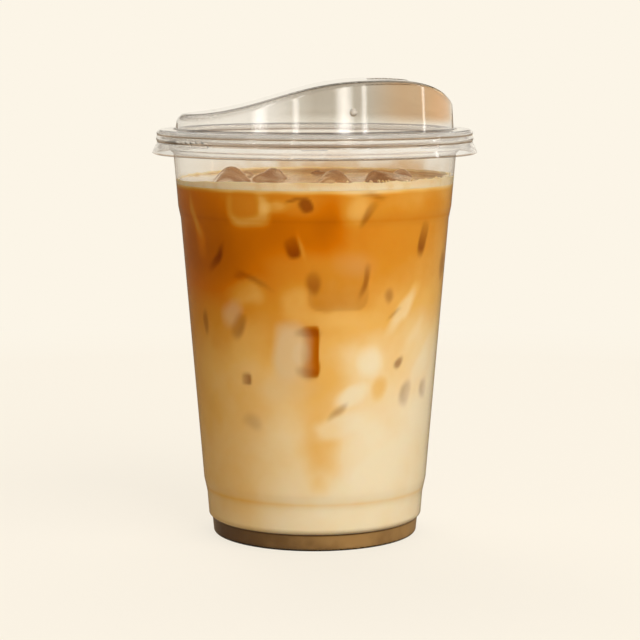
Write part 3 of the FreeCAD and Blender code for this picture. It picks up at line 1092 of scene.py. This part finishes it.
@dataclass
class ClearShells:
    """The cup and its lid, which keep their CAD shapes, and the moulded ball in the lid's nub."""

    ball: float = 1.0
    ball_turn: float = 15.5
    ball_out: float = 41.6
    ball_height: float = 130.6
    ball_segments: tuple[int, int] = (32, 20)
    ball_milkiness: float = 0.45

    def build(self) -> None:
        """Dress both in clear plastic and add the ball."""
        finishes = {"cup": CupPlastic("cup_plastic", 0.2, 1.38), "lid": LidPlastic("lid_plastic", 1.0, 1.5)}
        for name, finish in finishes.items():
            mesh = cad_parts[name].data
            mesh.shade_smooth()
            mesh.materials.clear()
            mesh.materials.append(finish.material())
            LOG.info("%s: %d faces", name, len(mesh.polygons))
        self.make_ball()

    def make_ball(self) -> None:
        """Put the ball in the nub."""
        turn = math.radians(self.ball_turn)
        place = Vector((self.ball_out * math.sin(turn), -self.ball_out * math.cos(turn), self.ball_height))
        around, upwards = self.ball_segments
        shape = bmesh.new()
        bmesh.ops.create_uvsphere(
            shape, u_segments=around, v_segments=upwards, radius=self.ball * MM,
            matrix=Matrix.Translation(place * MM),
        )
        plastic = ClearPlastic("nub_plastic", 1.0, 1.5, self.ball_milkiness)
        place_piece(as_object("lid_nub", shape), plastic.material(), "clear_lid")


@dataclass(frozen=True)
class Softbox:
    """A soft rectangular lamp that faces the drink.

    The turn is in degrees from the front, the climb in degrees above the table, the rest in metres,
    and the glow is how bright its face looks. Clear things show only a lamp that is mirrored. Fade
    gives how much of its width and height dies away at each end.
    """

    turn: float
    climb: float
    distance: float
    width: float
    tall: float
    glow: float
    mirrored: bool = False
    fade: tuple[float, float] = (0.0, 0.0)
    colour: Colour = (1.0, 0.98, 0.95, 1)

    @classmethod
    def strip(cls, turn: float, width: float, glow: float) -> "Softbox":
        """Make a tall lamp with soft edges, which the dome shows as a band of light."""
        return cls(turn, 14, 1.5, width, 0.95, glow, mirrored=True, fade=(0.5, 0.3))

    def build(self, name: str, aim: Vector) -> None:
        """Put the lamp in the scene, turned to its aim.

        Args:
            name: The lamp's name.
            aim: The place that it faces.
        """
        light = bpy.data.lights.new(name, "AREA")
        light.shape = "RECTANGLE"
        light.size = self.width
        light.size_y = self.tall
        light.energy = self.glow * math.pi * self.width * self.tall
        light.color = self.colour[:3]
        if any(self.fade):
            self.soften(light)
        lamp = bpy.data.objects.new(name, light)
        lamp.visible_glossy = self.mirrored
        lamp.visible_transmission = self.mirrored
        turn, climb = math.radians(self.turn), math.radians(self.climb)
        flat = self.distance * math.cos(climb)
        away = Vector((flat * math.sin(turn), -flat * math.cos(turn), self.distance * math.sin(climb)))
        lamp.location = aim + away
        lamp.rotation_euler = (aim - lamp.location).to_track_quat("-Z", "Y").to_euler()
        bpy.context.scene.collection.objects.link(lamp)

    def soften(self, light: bpy.types.AreaLight) -> None:
        """Let the lamp's face die away towards its edges, and give as much light as a plain one.

        Args:
            light: The lamp's light.
        """
        graph = Graph(light)
        places = graph.axes(graph.add("NewGeometry").outputs["Parametric"])
        strength = 1.0
        for place, fade in zip(places, self.fade):
            ends = graph.maths("MULTIPLY", graph.rise(place, 0.0, fade), graph.rise(place, 1.0, 1.0 - fade))
            strength = graph.maths("MULTIPLY", graph.maths("DIVIDE", ends, 1.0 - fade), strength)
        graph.finish(graph.shader("Emission", {"Strength": strength}), "OutputLight")


class Studio:
    """The pale floor, the lamps, the world and the camera."""

    CREAM = tone(252, 245, 231)
    ROOM = tone(104, 92, 80)
    TABLE = tone(132, 114, 92)
    BOUNCE = tone(160, 150, 136)
    SHOWN = tone(224, 216, 202)
    FILL = tone(255, 250, 242)
    FILL_STRENGTH = 0.24
    # The backdrop from level to overhead, as seen through clear things and mirrored in them.
    SEEN_THROUGH = ((0.0, CREAM), (0.22, CREAM), (0.6, ROOM), (1.0, ROOM))
    SEEN_MIRRORED = (
        (0.0, CREAM), (0.10, CREAM), (0.16, ROOM), (0.42, ROOM),
        (0.50, CREAM), (0.86, CREAM), (0.92, ROOM), (1.0, ROOM),
    )
    LAMPS = {
        "key": Softbox(40, 43, 1.3, 1.1, 0.7, 5.2),
        "back_fill": Softbox(178, 52, 1.4, 1.2, 0.7, 3.6),
        "left_back_fill": Softbox(-145, 46, 1.4, 0.8, 0.7, 3.0),
        "strip_far_left": Softbox.strip(-45, 0.50, 1.45),
        "strip_left": Softbox.strip(-15, 0.22, 1.7),
        "strip_right": Softbox.strip(24, 0.52, 2.7),
        "strip_far_right": Softbox.strip(41, 0.20, 2.0),
        "strip_side": Softbox.strip(101, 0.14, 1.8),
    }
    AIM = (0.0, 0.0, 0.09)
    FLOOR_SIZE = 8.0
    FLOOR_LEVEL = -0.2 * MM
    SHADOW_REACH = (0.1, 0.5)
    SHADOW_EASE = 0.8
    CAMERA_PLACE = (0.0016, -0.648, 0.1484)
    CAMERA_DIP = 7.28
    LENS = 119
    SENSOR = 36
    BOUNCES = 32
    MIRROR_BOUNCES = 12

    def build(self) -> None:
        """Set the stage."""
        self.make_floor()
        self.make_world()
        for name, lamp in self.LAMPS.items():
            lamp.build(name, Vector(self.AIM))
        self.make_camera()
        scene = bpy.context.scene
        scene.view_settings.view_transform = "Standard"
        scene.cycles.max_bounces = self.BOUNCES
        scene.cycles.transmission_bounces = self.BOUNCES
        scene.cycles.transparent_max_bounces = self.BOUNCES
        scene.cycles.glossy_bounces = self.MIRROR_BOUNCES
        scene.cycles.caustics_reflective = False
        scene.cycles.caustics_refractive = False

    def seen(self, graph: Graph) -> Socket:
        """Tell whether a ray sees the backdrop directly, mirrored or through something clear."""
        camera, glossy, through = graph.rays("Camera", "Glossy", "Transmission")
        return graph.maths("MAXIMUM", graph.maths("MAXIMUM", camera, glossy), through)

    def mirrored(self, graph: Graph) -> Socket:
        """Tell whether a ray comes from a reflection, and not through something clear."""
        return graph.maths("SUBTRACT", *graph.rays("Glossy", "Transmission"))

    def make_floor(self) -> None:
        """Make the floor, which shows a soft shadow near the cup and the backdrop's cream further off."""
        shape = bmesh.new()
        under = Matrix.Translation((0, 0, self.FLOOR_LEVEL))
        bmesh.ops.create_grid(shape, x_segments=1, y_segments=1, size=self.FLOOR_SIZE, matrix=under)
        floor = as_object("floor", shape)
        material, graph = blank_material("pale_floor")
        away = graph.length(graph.place())
        plain = graph.maths("MAXIMUM", graph.rise(away, *self.SHADOW_REACH), self.SHADOW_EASE)
        (bounced,) = graph.rays("Diffuse")
        lit = graph.shader("BsdfDiffuse", {"Color": graph.blend(bounced, self.SHOWN, self.BOUNCE)})
        mirrored = graph.maths("MAXIMUM", self.mirrored(graph), 0.0)
        glowing = graph.shader("Emission", {"Color": graph.blend(mirrored, self.CREAM, self.TABLE)})
        share = graph.maths("MAXIMUM", graph.maths("MULTIPLY", self.seen(graph), plain), mirrored)
        graph.finish(graph.shader("MixShader", {0: share, 1: lit, 2: glowing}))
        floor.data.materials.append(material)

    def make_world(self) -> None:
        """Make the backdrop: cream where it is seen, darker overhead in clear things, dim as a light."""
        world = bpy.data.worlds.new("backdrop")
        bpy.context.scene.world = world
        graph = Graph(world)
        _, _, climb = graph.axes(graph.add("TexCoord").outputs["Generated"])
        through = graph.ramp(climb, self.SEEN_THROUGH)
        mirrored = graph.ramp(climb, self.SEEN_MIRRORED)
        indirect = graph.blend(self.mirrored(graph), through, mirrored)
        (direct,) = graph.rays("Camera")
        backdrop = graph.blend(direct, indirect, self.CREAM)
        shown = graph.shader("Background", {"Color": backdrop, "Strength": 1.0})
        fill = graph.shader("Background", {"Color": self.FILL, "Strength": self.FILL_STRENGTH})
        graph.finish(graph.shader("MixShader", {0: self.seen(graph), 1: fill, 2: shown}), "OutputWorld")

    def make_camera(self) -> None:
        """Stand the camera a little above the rim, in front."""
        camera = bpy.data.cameras.new("camera")
        camera.sensor_width = self.SENSOR
        camera.lens = self.LENS
        stand = bpy.data.objects.new("camera", camera)
        stand.location = self.CAMERA_PLACE
        stand.rotation_euler = (math.radians(90 - self.CAMERA_DIP), 0, 0)
        bpy.context.scene.collection.objects.link(stand)
        bpy.context.scene.camera = stand


def main() -> None:
    """Build the drink, its ice and its clear cup, and set the stage."""
    logging.basicConfig(level=logging.INFO, format="%(name)s %(message)s")
    inside = CupInside("syrup", "latte", "foam")
    DarkLayer(inside).build()
    MarbledLatte(inside).build()
    DrinkTop(inside).build()
    FloatingIce().build()
    ClearShells().build()
    Studio().build()


if __name__ == "__main__":
    main()
